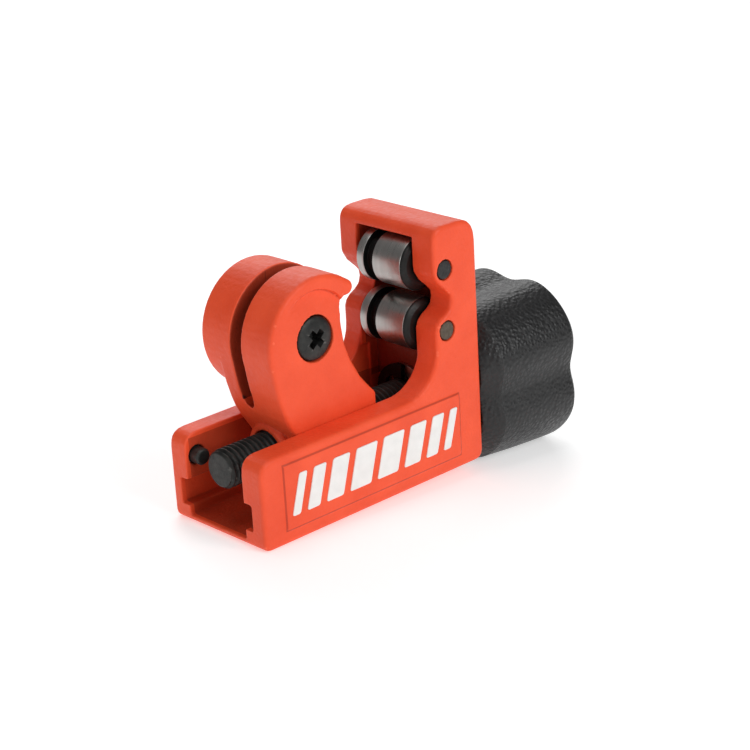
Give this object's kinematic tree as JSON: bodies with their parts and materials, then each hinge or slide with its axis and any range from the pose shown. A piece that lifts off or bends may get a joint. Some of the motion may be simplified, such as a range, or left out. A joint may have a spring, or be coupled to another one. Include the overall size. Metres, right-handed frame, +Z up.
{
  "type": "pipe cutter",
  "caption": "Compact pipe cutter: open channel casting with a roller upright, sliding forked cutter head, feed screw and four-lobed knob.",
  "frame": {"origin": "centre of the casting's flat underside", "axes": "+X along the feed screw from the channel's open end to the knob, +Y from the label side to the far side, +Z up from the underside to the upright's top"},
  "size_m": [0.087, 0.0354, 0.0572],
  "materials": {
    "casting": "orange powder coat, satin",
    "roller_steel": "ground steel",
    "wheel_steel": "hardened and ground",
    "pin_steel": "dull dark steel",
    "black_oxide": "black oxide, oiled",
    "washer_steel": "zinc plated",
    "knob_plastic": "black, grained"
  },
  "bodies": {
    "body": {"body_casting": "casting", "stop_pin": "black_oxide", "roller_pin_upper": "pin_steel", "roller_pin_lower": "pin_steel", "thrust_washer_inner": "washer_steel", "thrust_washer_outer": "washer_steel"},
    "roller_upper": {"roller_upper": "roller_steel"},
    "roller_lower": {"roller_lower": "roller_steel"},
    "knob": {"feed_screw": "black_oxide", "retaining_clip": "black_oxide", "knob_grip": "knob_plastic", "knob_washer": "washer_steel", "knob_screw": "black_oxide"},
    "slide": {"slide_casting": "casting", "axle_screw": "black_oxide"},
    "wheel": {"cutter_wheel": "wheel_steel"}
  },
  "joints": [
    {"name": "knob_turn", "type": "hinge", "parent": "body", "child": "knob", "pos_m": [0.045, 0, 0.013], "axis": [-1, 0, 0], "range_deg": [-3240, 3600]},
    {"name": "slide_travel", "type": "slide", "parent": "body", "child": "slide", "axis": [1, 0, 0], "range_m": [-0.01124, 0.01249]},
    {"name": "wheel_spin", "type": "hinge", "parent": "slide", "child": "wheel", "pos_m": [-0.0088, 0.0022, 0.0362], "axis": [0, 1, 0], "continuous": true},
    {"name": "roller_upper_spin", "type": "hinge", "parent": "body", "child": "roller_upper", "pos_m": [0.021, 0, 0.0434], "axis": [0, 1, 0], "continuous": true},
    {"name": "roller_lower_spin", "type": "hinge", "parent": "body", "child": "roller_lower", "pos_m": [0.021, 0, 0.0306], "axis": [0, 1, 0], "continuous": true}
  ],
  "couplings": [
    {"joint": "knob_turn", "follows": "slide_travel", "rad_per_m": 5026.5}
  ]
}
